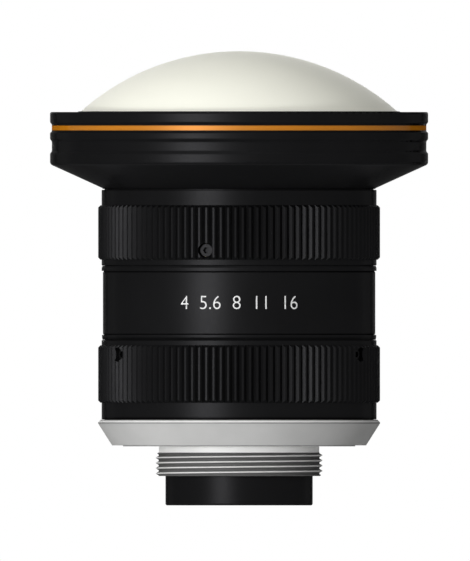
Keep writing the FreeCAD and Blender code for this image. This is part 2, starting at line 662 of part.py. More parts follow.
def helicoid_retaining_ring():
    return tube(PILOT_THREAD_R, RETAINING_RING_R, RING_Z, RING_Z + RETAINING_RING)


# Iris ring and diaphragm

def iris_ring():
    knurl_high = IRIS_KNURL_Z + IRIS_KNURL
    ring = grip(JOURNAL_R + RUN, IRIS_Z, IRIS_KNURL_Z, knurl_high, IRIS_TOP_Z, JOINT_RISE)
    for angle in IRIS_SCREW_ANGLES:
        ring = ring.cut(screw_hole(angle, IRIS_SCREW_Z, JOURNAL_R - OVERCUT))
    return ring


def iris_drive_pin():
    """Headed pin from the iris ring through the barrel's slot into the actuator."""
    head_low = JOURNAL_R + 2 * RUN
    shank = radial_rod(DRIVE_PIN_R, DRIVE_TIP_R, head_low, IRIS_SCREW_ANGLES[2], IRIS_SCREW_Z)
    head = radial_rod(DRIVE_HEAD_R, head_low, head_low + DRIVE_HEAD, IRIS_SCREW_ANGLES[2], IRIS_SCREW_Z)
    return shank.fuse(head).removeSplitter()


def cam_stud_at(turn):
    """Place of a blade's cam stud, with its pivot at angle 0, after the blade has turned inwards."""
    swing = math.radians(90 - turn)
    return Vector(PIVOT_CIRCLE_R + CAM_ARM * math.cos(swing), CAM_ARM * math.sin(swing), 0)


def cam_point(share):
    """The stud's place on the actuator at a share of the travel."""
    point = cam_stud_at(BLADE_TURN * share)
    turn = math.radians(-IRIS_TRAVEL * share)
    return Vector(point.x * math.cos(turn) - point.y * math.sin(turn),
                  point.x * math.sin(turn) + point.y * math.cos(turn), 0)


def first_pivot_angle():
    """Puts the drive pin midway between two cam slots."""
    start = cam_point(0)
    end = cam_point(1)
    start_angle = math.degrees(math.atan2(start.y, start.x))
    end_angle = math.degrees(math.atan2(end.y, end.x))
    web_angle = (start_angle + end_angle + 360 / BLADE_COUNT) / 2
    return IRIS_SCREW_ANGLES[2] - web_angle


def cam_slot(low, high):
    """Slot that follows the cam stud exactly over the travel."""
    half = CAM_STUD_R + RUN
    samples = 6
    outer = []
    inner = []
    step = 0.01
    for i in range(samples + 1):
        share = i / samples
        along = cam_point(share + step).sub(cam_point(share - step)).normalize()
        side = Vector(-along.y, along.x, 0).multiply(half)
        outer.append(cam_point(share).add(side))
        inner.append(cam_point(share).sub(side))
    first_way = cam_point(step).sub(cam_point(0)).normalize().multiply(half)
    last_way = cam_point(1).sub(cam_point(1 - step)).normalize().multiply(half)
    outer_curve = Part.BSplineCurve()
    outer_curve.interpolate(outer)
    inner_curve = Part.BSplineCurve()
    inner_curve.interpolate(inner)
    wire = Part.Wire([outer_curve.toShape(),
                      Part.Arc(outer[-1], cam_point(1).add(last_way), inner[-1]).toShape(),
                      inner_curve.toShape(),
                      Part.Arc(inner[0], cam_point(0).sub(first_way), outer[0]).toShape()])
    slot = Part.Face(wire).extrude(Vector(0, 0, high - low))
    slot.translate(Vector(0, 0, low))
    return slot


def iris_actuator_ring():
    """Cam ring: one curved slot for each blade and a hole for the drive pin."""
    ring = tube(ACTUATOR_BORE_R, ACTUATOR_R, ACTUATOR_Z, ACTUATOR_Z + ACTUATOR)
    for i in range(BLADE_COUNT):
        slot = cam_slot(ACTUATOR_Z - OVERCUT, ACTUATOR_Z + ACTUATOR + OVERCUT)
        slot.rotate(ORIGIN, AXIS, first_pivot_angle() + 360 * i / BLADE_COUNT)
        ring = ring.cut(slot)
    return ring.cut(radial_rod(DRIVE_PIN_R, DRIVE_TIP_R - RUN, ACTUATOR_R + OVERCUT,
                               IRIS_SCREW_ANGLES[2], IRIS_SCREW_Z))


def iris_blade(index):
    """Sickle blade with its pivot stud below and its cam stud above."""
    low = HOUSING_FLOOR_Z + BLADE_SPACE + index * BLADE_PITCH
    high = low + BLADE
    pivot = Vector(PIVOT_CIRCLE_R, 0, 0)
    stud = cam_stud_at(0)
    band = sector(OPEN_R, BLADE_OUTER_R, low, high, BLADE_TO, BLADE_FROM - BLADE_TO)
    middle_r = (OPEN_R + BLADE_OUTER_R) / 2
    half_width = (BLADE_OUTER_R - OPEN_R) / 2
    tip = Part.makeCylinder(half_width, BLADE, place_round(middle_r, BLADE_TO, low))
    heel = Part.makeCylinder(half_width, BLADE, place_round(middle_r, BLADE_FROM, low))
    ear = capsule(place_round(middle_r, 0, 0), pivot, PIVOT_EAR_R, low, high)
    arm = capsule(pivot, stud, CAM_EAR_R, low, high)
    plate = band.fuse([tip, heel, ear, arm]).removeSplitter()
    pivot_low = HOUSING_Z + BLADE_SPACE
    pivot_stud = Part.makeCylinder(PIVOT_R, high - pivot_low, Vector(pivot.x, pivot.y, pivot_low))
    cam_high = ACTUATOR_Z + ACTUATOR - BLADE_SPACE
    cam_stud = Part.makeCylinder(CAM_STUD_R, cam_high - low, Vector(stud.x, stud.y, low))
    blade = plate.fuse([pivot_stud, cam_stud]).removeSplitter()
    blade.rotate(ORIGIN, AXIS, first_pivot_angle() + 360 * index / BLADE_COUNT)
    return blade


def iris_housing():
    """Cup that carries the blade pivots, with a slot in its rim for the drive pin."""
    outer_r = IRIS_BORE_R
    housing = turned([(HOUSING_HOLE_R, HOUSING_Z), (outer_r, HOUSING_Z), (outer_r, IRIS_BORE_END_Z),
                      (HOUSING_RIM_R, IRIS_BORE_END_Z), (HOUSING_RIM_R, HOUSING_FLOOR_Z),
                      (HOUSING_HOLE_R, HOUSING_FLOOR_Z)])
    half = DRIVE_PIN_R + RUN
    housing = housing.cut(travel_slot(half, HOUSING_RIM_R - OVERCUT, outer_r + OVERCUT, IRIS_SCREW_Z - half,
                                      IRIS_BORE_END_Z + OVERCUT, HOUSING_RIM_R))
    for i in range(BLADE_COUNT):
        centre = place_round(PIVOT_CIRCLE_R, first_pivot_angle() + 360 * i / BLADE_COUNT, HOUSING_Z)
        housing = housing.cut(Part.makeCylinder(PIVOT_R + RUN, HOUSING_FLOOR, centre))
    return housing


def iris_retainer():
    return tube(IRIS_BORE_R - IRIS_RETAINER_WIDTH, IRIS_BORE_R, IRIS_RETAINER_Z, HOUSING_Z)


# Focus ring and helicoid nut

def focus_ring():
    knurl_high = FOCUS_KNURL_Z + FOCUS_KNURL
    recess = FOCUS_TOP_Z - DUST_SKIRT_Z + FACE_GAP
    ring = grip(FOCUS_BORE_R, FOCUS_Z, FOCUS_KNURL_Z, knurl_high, FOCUS_TOP_Z, recess)
    for angle in FOCUS_SCREW_ANGLES:
        ring = ring.cut(screw_hole(angle, FOCUS_SCREW_Z, FOCUS_BORE_R - OVERCUT))
    return ring


def helicoid_nut():
    """Nut that runs on the pilot and drives the front cell."""
    flange_top = FOCUS_Z + NUT_FLANGE
    nut = turned([(PILOT_R + RUN, NUT_Z), (NUT_R, NUT_Z), (NUT_R, NUT_TOP_Z), (NUT_THREAD_R, NUT_TOP_Z),
                  (NUT_THREAD_R, flange_top), (PILOT_R + RUN, flange_top)])
    for angle in FOCUS_SCREW_ANGLES:
        nut = nut.cut(screw_hole(angle, FOCUS_SCREW_Z, PILOT_R - OVERCUT))
    return nut


# Front group

def front_barrel():
    """Sliding cell: tail with guide slots, helicoid thread, dust skirt, and the inner elements' seats."""
    neck_top = HOOD_SEAT_Z - CELL_TOP
    lip_r = FRONT_CELL_R - FRONT_LIP_WIDTH
    skirt_bore_r = NUT_R + STEP_PLAY
    flange_z = NUT_TOP_Z + SKIRT_CLEAR
    barrel = turned([(lip_r, TAIL_Z), (TAIL_R, TAIL_Z), (TAIL_R, STEP_Z), (FRONT_THREAD_R, STEP_Z),
                     (FRONT_THREAD_R, flange_z), (skirt_bore_r, flange_z), (skirt_bore_r, DUST_SKIRT_Z),
                     (JOINT_STEP_R, DUST_SKIRT_Z), (JOINT_STEP_R, HOOD_Z), (CELL_NECK_R, HOOD_Z),
                     (CELL_NECK_R, neck_top),
                     (SECOND_CELL_R, neck_top), (SECOND_CELL_R, SECOND_SEAT_Z),
                     (FRONT_CELL_R, SECOND_SEAT_Z), (FRONT_CELL_R, TAIL_Z + FRONT_LIP),
                     (lip_r, TAIL_Z + FRONT_LIP)])
    reach = GUIDE_PIN_R + RUN
    for angle in (0, 180):
        high = GUIDE_Z + STOP_PLAY
        low = GUIDE_Z - FRONT_TRAVEL - STOP_PLAY
        for z in (high, low):
            barrel = barrel.cut(radial_rod(reach, GUIDE_SLOT_R, TAIL_R + OVERCUT, angle, z))
        middle = Part.makeBox(TAIL_R + OVERCUT - GUIDE_SLOT_R, 2 * reach, high - low,
                              Vector(GUIDE_SLOT_R, -reach, low))
        middle.rotate(ORIGIN, AXIS, angle)
        barrel = barrel.cut(middle)
    return barrel


def front_stack():
    """Inner front elements with their spacer and retainers, stacked from the tail's lip."""
    edge_r = FRONT_CELL_R - GLASS_PLAY
    shapes = {}

    back = vertex_on(TAIL_Z + FRONT_LIP, -CROWN_BACK_CURVE, FRONT_CELL_R - FRONT_LIP_WIDTH)
    front = back + sag(CROWN_BACK_CURVE, edge_r) + CROWN_EDGE + sag(FRONT_CEMENT_CURVE, edge_r)
    shapes["front_doublet_crown"] = element(back, -CROWN_BACK_CURVE, edge_r,
                                            front, FRONT_CEMENT_CURVE, edge_r, edge_r)

    back = front + GLASS_GAP
    front = back + FLINT_THICKNESS
    shapes["front_doublet_flint"] = element(back, FRONT_CEMENT_CURVE, edge_r,
                                            front, -FLINT_FRONT_CURVE, edge_r, edge_r)

    low = surface_z(front, -FLINT_FRONT_CURVE, edge_r) + GLASS_GAP
    top = low + FRONT_SPACER
    shapes["front_spacer"] = tube(FRONT_CELL_R - FRONT_SPACER_WIDTH, edge_r, low, top)

    back = top + GLASS_GAP + THIRD_HOLLOW
    front = back + THIRD_THICKNESS
    shapes["third_element"] = element(back, THIRD_BACK_CURVE, hollow_r(THIRD_BACK_CURVE, THIRD_HOLLOW),
                                      front, THIRD_FRONT_CURVE, edge_r, edge_r)

    ring_r = FRONT_CELL_R - THIRD_RETAINER_WIDTH
    low = surface_z(front, THIRD_FRONT_CURVE, ring_r) + GLASS_GAP
    shapes["third_retainer"] = tube(ring_r, FRONT_CELL_R, low, low + THIRD_RETAINER)

    second_r = SECOND_CELL_R - GLASS_PLAY
    back = SECOND_SEAT_Z + SECOND_HOLLOW
    front = back + SECOND_THICKNESS
    shapes["second_element"] = element(back, SECOND_BACK_CURVE, hollow_r(SECOND_BACK_CURVE, SECOND_HOLLOW),
                                       front, SECOND_FRONT_CURVE, second_r, second_r)

    ring_r = SECOND_CELL_R - SECOND_RETAINER_WIDTH
    low = surface_z(front, SECOND_FRONT_CURVE, ring_r) + GLASS_GAP
    shapes["second_retainer"] = tube(ring_r, SECOND_CELL_R, low, low + SECOND_RETAINER)
    return shapes


def hood():
    """Flared hood: cone, lands, wide groove, bead, bed of the accent ring and seat of the first element."""
    floor_z = GROOVE_Z + GROOVE_SHOULDER
    floor_end = floor_z + GROOVE_FLOOR
    bed_low = ACCENT_Z - ACCENT_PLAY
    bed_high = UPPER_SHOULDER_Z + ACCENT_PLAY
    cone_foot = (HOOD_FOOT_R, HOOD_CONE_Z)
    lower_corner = rounded(cone_foot, (HOOD_R, LOWER_LAND_Z), (HOOD_R, GROOVE_Z), LOWER_LAND_EDGE)
    groove = (shoulder((HOOD_R, GROOVE_Z), (GROOVE_R, floor_z)) + [(GROOVE_R, floor_end)]
              + shoulder((GROOVE_R, floor_end), (HOOD_R, BEAD_Z)))
    bed = (shoulder((HOOD_R, ACCENT_SHOULDER_Z), (ACCENT_R, bed_low))
           + [(ACCENT_BED_R, bed_low), (ACCENT_BED_R, bed_high), (ACCENT_R, bed_high)]
           + shoulder((ACCENT_R, bed_high), (HOOD_R, UPPER_LAND_Z)))
    rim_corner = rounded((HOOD_R, UPPER_LAND_Z), (HOOD_R, RIM_Z), (RETAINER_R, RIM_Z), HOOD_EDGE)
    return turned([(CELL_NECK_R, HOOD_Z), (HOOD_FOOT_R - HOOD_FOOT, HOOD_Z), cone_foot] + lower_corner
                  + [(HOOD_R, GROOVE_Z)] + groove + [(HOOD_R, ACCENT_SHOULDER_Z)] + bed + rim_corner
                  + [(RETAINER_R, RIM_Z), (RETAINER_R, RETAINER_Z), (FIRST_CELL_R, RETAINER_Z),
                     (FIRST_CELL_R, HOOD_SEAT_Z), (CELL_NECK_R, HOOD_SEAT_Z)])


def accent_ring():
    return tube(ACCENT_BED_R, ACCENT_R, ACCENT_Z, ACCENT_Z + ACCENT_WIDTH)


def dome_top():
    """Apex of the first element, whose sphere clears the retainer's lip by the glass play."""
    return LIP_Z + sag(DOME_CURVE, LIP_R - GLASS_PLAY)


def front_element():
    """Domed meniscus, hollow behind."""
    top = dome_top()
    back_vertex = top - DOME_THICKNESS
    back_r = hollow_r(DOME_BACK_CURVE, back_vertex - HOOD_SEAT_Z)
    half_r = DOME_EDGE_R / 2
    return turned([(0, back_vertex),
                   (back_r / 2, back_vertex - sag(DOME_BACK_CURVE, back_r / 2), back_r, HOOD_SEAT_Z),
                   (DOME_EDGE_R, HOOD_SEAT_Z), (DOME_EDGE_R, top - sag(DOME_CURVE, DOME_EDGE_R)),
                   (half_r, top - sag(DOME_CURVE, half_r), 0, top)])


def front_retainer():
    """Threaded ring whose lip holds the first element by its edge."""
    shoulder_z = dome_top() - sag(DOME_CURVE, DOME_EDGE_R) + GLASS_PLAY
    return turned([(FIRST_CELL_R, RETAINER_Z), (RETAINER_R, RETAINER_Z), (RETAINER_R, RIM_Z),
                   (LIP_R + LIP_WIDTH + LIP, RIM_Z), (LIP_R + LIP_WIDTH, LIP_Z), (LIP_R, LIP_Z),
                   (FIRST_CELL_R, shoulder_z)])


def build():
    """Every node with its shape."""
    shapes, stack_top = rear_stack()
    shapes.update(front_stack())
    shapes["c_mount_ring"] = c_mount_ring()
    shapes["flange_shim"] = flange_shim()
    shapes["rear_barrel"] = rear_barrel(stack_top)
    shapes["rear_cell_screws"] = rear_cell_screws()
    shapes["main_barrel"] = main_barrel()
    shapes["guide_pins"] = guide_pins()
    shapes["iris_thrust_ring"] = iris_thrust_ring()
    shapes["focus_thrust_ring"] = focus_thrust_ring()
    shapes["helicoid_retaining_ring"] = helicoid_retaining_ring()
    shapes["iris_ring"] = iris_ring()
    shapes["iris_drive_pin"] = iris_drive_pin()
    shapes["iris_actuator_ring"] = iris_actuator_ring()
    shapes["iris_housing"] = iris_housing()
    shapes["iris_retainer"] = iris_retainer()
    for i in range(BLADE_COUNT):
        shapes["iris_blade_" + str(i + 1)] = iris_blade(i)
    tip_r = JOURNAL_R + 3 * RUN
    for i, angle in enumerate(IRIS_SCREW_ANGLES[:2], start=1):
        shapes["iris_lock_screw_" + str(i)] = lock_screw(tip_r, angle, IRIS_SCREW_Z)
    shapes["iris_pin_screw"] = lock_screw(tip_r + DRIVE_HEAD, IRIS_SCREW_ANGLES[2], IRIS_SCREW_Z)
    shapes["focus_ring"] = focus_ring()
    shapes["helicoid_nut"] = helicoid_nut()
    for i, angle in enumerate(FOCUS_SCREW_ANGLES, start=1):
        shapes["focus_lock_screw_" + str(i)] = lock_screw(PILOT_R + 2 * RUN, angle, FOCUS_SCREW_Z)
    shapes["front_barrel"] = front_barrel()
    shapes["hood"] = hood()
    shapes["accent_ring"] = accent_ring()
    shapes["front_element"] = front_element()
    shapes["front_retainer"] = front_retainer()
    return shapes


os.makedirs("parts", exist_ok=True)
for name, shape in sorted(build().items()):
    print(name, "valid" if shape.isValid() else "INVALID", len(shape.Solids), round(shape.Volume, 3))
    shape.exportStep("parts/" + name + ".step")
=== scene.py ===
import json
import math

import bmesh
import bpy
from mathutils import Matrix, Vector


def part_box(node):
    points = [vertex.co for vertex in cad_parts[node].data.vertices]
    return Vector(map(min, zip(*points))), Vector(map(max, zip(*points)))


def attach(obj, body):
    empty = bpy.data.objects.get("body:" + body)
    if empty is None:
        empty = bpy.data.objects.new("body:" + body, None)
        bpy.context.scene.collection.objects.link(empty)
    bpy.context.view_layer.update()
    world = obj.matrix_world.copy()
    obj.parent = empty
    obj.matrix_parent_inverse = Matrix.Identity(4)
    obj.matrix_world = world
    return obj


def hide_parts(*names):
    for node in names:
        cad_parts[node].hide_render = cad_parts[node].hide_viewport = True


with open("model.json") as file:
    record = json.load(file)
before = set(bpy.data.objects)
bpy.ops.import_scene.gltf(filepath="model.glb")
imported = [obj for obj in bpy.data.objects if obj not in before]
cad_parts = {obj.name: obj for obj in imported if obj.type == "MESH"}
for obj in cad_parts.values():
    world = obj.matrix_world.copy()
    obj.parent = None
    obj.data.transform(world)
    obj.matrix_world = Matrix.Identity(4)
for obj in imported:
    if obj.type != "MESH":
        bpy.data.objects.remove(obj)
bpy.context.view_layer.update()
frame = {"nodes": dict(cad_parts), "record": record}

# C-mount lens seen square from the side. Sizes are metres in the frame of the CAD model.
MM = 0.001

# The photograph's frame
IMAGE_WIDTH = 470
IMAGE_HEIGHT = 561
PIXELS_PER_MM = 6.556
AXIS_PIXEL_X = 239.1
REAR_END_PIXEL_Y = 505.4
CAMERA_DISTANCE = 0.5
CAMERA_NEAR = 0.01

# Floor
FLOOR_R = 0.6
FLOOR_SIDES = 96
FLOOR_DROP = 0.05 * MM
FLOOR_COLOR = (0.8, 0.8, 0.8)
FLOOR_ROUGHNESS = 0.9
FLOOR_WHITE = 0.6               # share of the floor that the camera sees as plain white, over its shadows

# Even light, and lamps with their azimuth, elevation, distance, width, height, strength and aim
AMBIENT = 0.2
BODY_AIM_Z = 35 * MM
MOUNT_AIM_Z = 11 * MM
LAMPS = {
    "key": (-27, 0, 0.45, 0.16, 0.3, 0.92, BODY_AIM_Z),
    "low": (-27, 0, 0.45, 0.16, 0.02, 0.35, MOUNT_AIM_Z),
    "overhead": (-20, 60, 0.5, 0.4, 0.4, 0.25, BODY_AIM_Z),
    "back": (180, 15, 0.6, 0.4, 0.4, 0.25, BODY_AIM_Z),
}

# Turned metals: colour, roughness, metallic share, specular level, depth of the marks and of the grain
TURNED_METALS = {
    "black_aluminium": ((0.016, 0.016, 0.0168), 0.4, 0.65, 0.0, 0.4, 0.5),
    "orange_accent": ((0.41, 0.143, 0.006), 0.46, 0.2, 0.35, 0.4, 0.3),
    "silver_mount": ((0.9, 0.9, 0.89), 0.5, 0.05, 0.1, 0.8, 0.4),
    "blade_steel": ((0.06, 0.06, 0.065), 0.4, 0.6, 0.4, 0.2, 0.4),
    "black_steel": ((0.009, 0.009, 0.0095), 0.45, 0.8, 0.0, 0.3, 0.5),
    "bright_steel": ((0.6, 0.6, 0.62), 0.25, 1.0, 0.5, 0.4, 0.2),
    "brass": ((0.78, 0.58, 0.25), 0.3, 1.0, 0.5, 0.6, 0.2),
}

# Surface detail: noise cycles in a metre, the part of the noise's range that is used, and its effect
MARKS_SCALE = 9000
SPECK_SCALE = 6000
CLOUD_SCALE = 120
GLASS_CLOUD_SCALE = 90
DOME_CLOUD_SCALE = 60
PAINT_SPECK_SCALE = 5000
NOISE_LOW = 0.3
NOISE_HIGH = 0.7
CLOUD_SHADES = (0.94, 1.06)
SPECK_ROUGHNESS = 0.04
BUMP_DEPTH = 0.01 * MM

# Gloss by how far a surface turns away from the eye, from 0 face on to 1 edge on
FILM_TINT = [(0, 0.5), (0.6, 0.5), (0.7, 0.43), (0.8, 0.25), (0.9, 0)]
ORANGE_GLOSS = [(0, 0.5), (0.2, 0.4), (0.5, 0.1), (0.6, 0)]
MOUNT_GLOSS = [(0, 0.1), (0.3, 0.1), (0.6, 0)]

# Painted light and shade by height in mm. Black: painted shade in the seam over the mount and in the line
# over the iris ring, painted light that lifts the flared foot of the hood
BLACK_PAINTED_LIGHT_AND_SHADE = [(13.0, 0.5), (13.1, 0.1), (13.3, 0.15), (13.6, 0.5), (25.1, 0.5), (25.25, 0.25),
                (25.6, 0.25), (25.7, 0.5), (48.42, 0.5), (48.5, 1), (51.9, 1), (52.1, 0.5)]
# Mount: seat and neck at full colour, partly a brighter turned finish and partly painted light against the
# shade under the cone; painted shade at the edge under the cone; cone; painted shade in the line over it;
# painted highlight on the rim; painted shade on the step over the rim
MOUNT_PAINTED_LIGHT_AND_SHADE = [(9.0, 1), (9.05, 0.35), (9.16, 0.35), (9.2, 0.5), (12.4, 0.5), (12.46, 0.3), (12.66, 0.3),
                (12.72, 0.8), (12.86, 0.8), (13.0, 0.3), (13.04, 0.05)]
# Orange ring: painted shade at both edges
ORANGE_PAINTED_SHADE = [(57.19, 0.3), (57.28, 1), (57.85, 1), (57.95, 0.3)]
# Painted shade on the thread by radius in mm, darkest at the root and lightest at the crest. The neck is
# shaded as if it were NECK_SHIFT further out, which gives it full colour
THREAD_PAINTED_SHADE = [(12.3, 0.1), (12.45, 0.17), (12.62, 0.34), (12.67, 0.8), (12.7, 0.8), (14, 1)]
NECK_SHIFT = 2 * MM

# Meshes: steps round the axis, angle from which an edge stays sharp, and points that count as one
CIRCLE_STEPS = 192
SHARP_DEGREES = 22
SAME_POINT = 1e-7

# Mount ring with its thread, 1 inch - 32 UN: pitch, major radius, depth, and flats as shares of the pitch
THREAD_PITCH = 25.4 / 32 * MM
THREAD_R = 12.7 * MM
THREAD_DEPTH = 0.43 * MM
THREAD_CREST = 1 / 8
THREAD_ROOT = 1 / 4
THREAD_CHAMFER = 0.35 * MM
THREAD_FOOT_Z = 4.48 * MM
THREAD_TOP_Z = 8.05 * MM
THREAD_ROWS = 16                # rows of the mesh in one pitch
BORE_R = 11.28 * MM
NECK_R = 12.23 * MM
RELIEF_R = 12.85 * MM
SEAT_R = 17.70 * MM
CONE_FOOT_R = 19.37 * MM
RIM_R = 21.50 * MM
STEP_R = 20.52 * MM
CUP_R = 18.65 * MM
SEAT_Z = 9.00 * MM
SEAT_RAISE = 0.15 * MM
RELIEF_Z = 9.15 * MM
CUP_FLOOR_Z = 11.00 * MM
CONE_TOP_Z = 12.50 * MM
RIM_Z = 12.68 * MM
MOUNT_TOP_Z = 13.08 * MM
STEP_Z = 13.38 * MM
RIM_CHAMFER = 0.40 * MM

# Accent ring, which fills its bed from flank to flank
ACCENT_THICKNESS = 0.93 * MM
ACCENT_SPREAD = 0.029 * MM      # beyond each face of the CAD ring
ACCENT_EDGE = 0.02 * MM

# Scale numbers on the fixed sleeve
SLEEVE_R = 20.78 * MM
NUMBER_HEIGHT = 2.04 * MM
NUMBERS_WIDTH = 18.4 * MM
NUMBERS_Z = 30.96 * MM
NUMBER_PROUD = 0.03 * MM
NUMBER_THINNING = 0.012         # taken off each side of a stroke, as a share of the letter size
NUMBERS = "4  5.6  8  11  16"


# Node helpers

def math_node(nodes, links, operation, a, b):
    """Math node on two sockets, or on a socket and a number; returns its output."""
    node = nodes.new("ShaderNodeMath")
    node.operation = operation
    for socket, value in zip(node.inputs, (a, b)):
        if isinstance(value, (int, float)):
            socket.default_value = value
        else:
            links.new(value, socket)
    return node.outputs[0]


def show_white(nodes, links, lit, white, camera_share, target):
    """Lights things with one shader and shows the other, to the camera by a share and in mirrors wholly."""
    path = nodes.new("ShaderNodeLightPath").outputs
    camera = math_node(nodes, links, "MULTIPLY", path["Is Camera Ray"], camera_share)
    mirrored = math_node(nodes, links, "MAXIMUM", path["Is Glossy Ray"], path["Is Transmission Ray"])
    mix = nodes.new("ShaderNodeMixShader")
    links.new(math_node(nodes, links, "MAXIMUM", camera, mirrored), mix.inputs[0])
    links.new(lit, mix.inputs[1])
    links.new(white, mix.inputs[2])
    links.new(mix.outputs[0], target)


# Camera, floor and lights

def make_camera():
    """Orthographic side view that puts a millimetre on as many pixels as in the photograph."""
    data = bpy.data.cameras.new("camera")
    data.type = "ORTHO"
    data.ortho_scale = IMAGE_HEIGHT / PIXELS_PER_MM * MM
    data.clip_start = CAMERA_NEAR
    camera = bpy.data.objects.new("camera", data)
    x = (IMAGE_WIDTH / 2 - AXIS_PIXEL_X) / PIXELS_PER_MM * MM
    z = (REAR_END_PIXEL_Y - IMAGE_HEIGHT / 2) / PIXELS_PER_MM * MM
    camera.location = (x, -CAMERA_DISTANCE, z)
    camera.rotation_euler = (math.radians(90), 0, 0)
    bpy.context.collection.objects.link(camera)
    bpy.context.scene.camera = camera


def make_lamp(name, azimuth, elevation, distance, width, height, strength, aim_z):
    """Area light aimed at the lens; azimuth 0 is the camera's side, positive towards +X.
    Strength 1 lights a white surface that faces it to white."""
    data = bpy.data.lights.new(name, "AREA")
    data.shape = "RECTANGLE"
    data.size = width
    data.size_y = height
    data.energy = strength * (math.pi * distance) ** 2
    light = bpy.data.objects.new(name, data)
    turn = math.radians(azimuth)
    lift = math.radians(elevation)
    away = Vector((math.sin(turn) * math.cos(lift), -math.cos(turn) * math.cos(lift), math.sin(lift)))
    light.location = Vector((0, 0, aim_z)) + away * distance
    light.rotation_euler = (-away).to_track_quat("-Z", "Y").to_euler()
    light.visible_camera = False
    bpy.context.collection.objects.link(light)


def make_background(nodes, strength):
    """White light of a strength from all round."""
    background = nodes.new("ShaderNodeBackground")
    background.inputs["Color"].default_value = (1, 1, 1, 1)
    background.inputs["Strength"].default_value = strength
    return background.outputs[0]


def make_world():
    """Even grey light, with a white background where it is seen."""
    world = bpy.data.worlds.new("studio")
    world.use_nodes = True
    bpy.context.scene.world = world
    nodes = world.node_tree.nodes
    nodes.clear()
    output = nodes.new("ShaderNodeOutputWorld")
    show_white(nodes, world.node_tree.links, make_background(nodes, AMBIENT), make_background(nodes, 1), 1,
               output.inputs["Surface"])


def make_floor():
    """Pale floor disc that the lens stands on."""
    bpy.ops.mesh.primitive_circle_add(vertices=FLOOR_SIDES, radius=FLOOR_R, fill_type="NGON",
                                      location=(0, 0, -FLOOR_DROP))
    floor = bpy.context.object
    floor.name = "floor"
    material = bpy.data.materials.new("floor")
    material.use_nodes = True
    nodes = material.node_tree.nodes
    shader = nodes["Principled BSDF"]
    shader.inputs["Base Color"].default_value = (*FLOOR_COLOR, 1)
    shader.inputs["Roughness"].default_value = FLOOR_ROUGHNESS
    white = nodes.new("ShaderNodeEmission")
    white.inputs["Strength"].default_value = 1
    show_white(nodes, material.node_tree.links, shader.outputs[0], white.outputs[0], FLOOR_WHITE,
               nodes["Material Output"].inputs["Surface"])
    floor.data.materials.append(material)


# Materials

class Finish:
    """A principled material and the helpers that add its surface detail."""

    def __init__(self, name, color, roughness, metallic, specular):
        self.material = bpy.data.materials.new(name)
        self.material.use_nodes = True
        self.nodes = self.material.node_tree.nodes
        self.links = self.material.node_tree.links
        self.shader = self.nodes["Principled BSDF"]
        self.shader.inputs["Base Color"].default_value = (*color, 1)
        self.shader.inputs["Roughness"].default_value = roughness
        self.shader.inputs["Metallic"].default_value = metallic
        self.shader.inputs["Specular IOR Level"].default_value = specular
        self.color = color
        self.roughness = roughness
        self.position = self.nodes.new("ShaderNodeTexCoord").outputs["Object"]
        parts = self.nodes.new("ShaderNodeSeparateXYZ")
        self.links.new(self.position, parts.inputs[0])
        x, y, self.height = parts.outputs
        square = self.math("ADD", self.math("MULTIPLY", x, x), self.math("MULTIPLY", y, y))
        self.radius = self.math("POWER", square, 0.5)

    def math(self, operation, a, b):
        return math_node(self.nodes, self.links, operation, a, b)

    def noise(self, vector, scale, detail=2):
        node = self.nodes.new("ShaderNodeTexNoise")
        node.inputs["Scale"].default_value = scale
        node.inputs["Detail"].default_value = detail
        self.links.new(vector, node.inputs["Vector"])
        return node.outputs["Fac"]

    def ramp(self, factor, stops):
        """Colour that runs through the stops, each a place from 0 to 1 and a colour."""
        node = self.nodes.new("ShaderNodeValToRGB")
        points = node.color_ramp.elements
        while len(points) < len(stops):
            points.new(1)
        for point, (place, color) in zip(points, stops):
            point.position = place
            point.color = (*color, 1)
        self.links.new(factor, node.inputs[0])
        return node.outputs[0]

    def lathe_vector(self):
        """Radius and height of a point, which stay the same all round the axis."""
        joined = self.nodes.new("ShaderNodeCombineXYZ")
        self.links.new(self.radius, joined.inputs[0])
        self.links.new(self.height, joined.inputs[1])
        return joined.outputs[0]

    def vary_color(self, factor, dark, light):
        """Colour that runs between two shades with a texture."""
        low = [share * dark for share in self.color]
        high = [min(1, share * light) for share in self.color]
        varied = self.ramp(factor, [(NOISE_LOW, low), (NOISE_HIGH, high)])
        self.links.new(varied, self.shader.inputs["Base Color"])

    def vary_roughness(self, factor, spread):
        """Roughness that runs up and down by a spread with a texture."""
        span = self.nodes.new("ShaderNodeMapRange")
        span.inputs["From Min"].default_value = NOISE_LOW
        span.inputs["From Max"].default_value = NOISE_HIGH
        span.inputs["To Min"].default_value = self.roughness - spread
        span.inputs["To Max"].default_value = self.roughness + spread
        self.links.new(factor, span.inputs["Value"])
        self.links.new(span.outputs[0], self.shader.inputs["Roughness"])

    def bump(self, height, distance):
        node = self.nodes.new("ShaderNodeBump")
        node.inputs["Strength"].default_value = 1
        node.inputs["Distance"].default_value = distance
        self.links.new(height, node.inputs["Height"])
        self.links.new(node.outputs[0], self.shader.inputs["Normal"])

    def paint_light_and_shade_by(self, length, stops):
        """Scales the colour with a height or radius, which paints light and shade in bands round the axis.
        """
        low = stops[0][0]
        span = stops[-1][0] - low
        share = self.math("DIVIDE", self.math("SUBTRACT", length, low * MM), span * MM)
        shades = self.ramp(share, [((place - low) / span, [shade] * 3) for place, shade in stops])
        mix = self.nodes.new("ShaderNodeMix")
        mix.data_type = "RGBA"
        mix.blend_type = "MULTIPLY"
        mix.inputs["Factor"].default_value = 1
        base = self.shader.inputs["Base Color"]
        self.links.new(base.links[0].from_socket, mix.inputs["A"])
        self.links.new(shades, mix.inputs["B"])
        self.links.new(mix.outputs["Result"], base)

    def by_facing(self, stops, socket):
        """Drives a gloss socket by how far the surface turns away from the eye."""
        facing = self.nodes.new("ShaderNodeLayerWeight")
        facing.inputs["Blend"].default_value = 0.5
        gloss = self.ramp(facing.outputs["Facing"], [(place, [value] * 3) for place, value in stops])
        self.links.new(gloss, self.shader.inputs[socket])


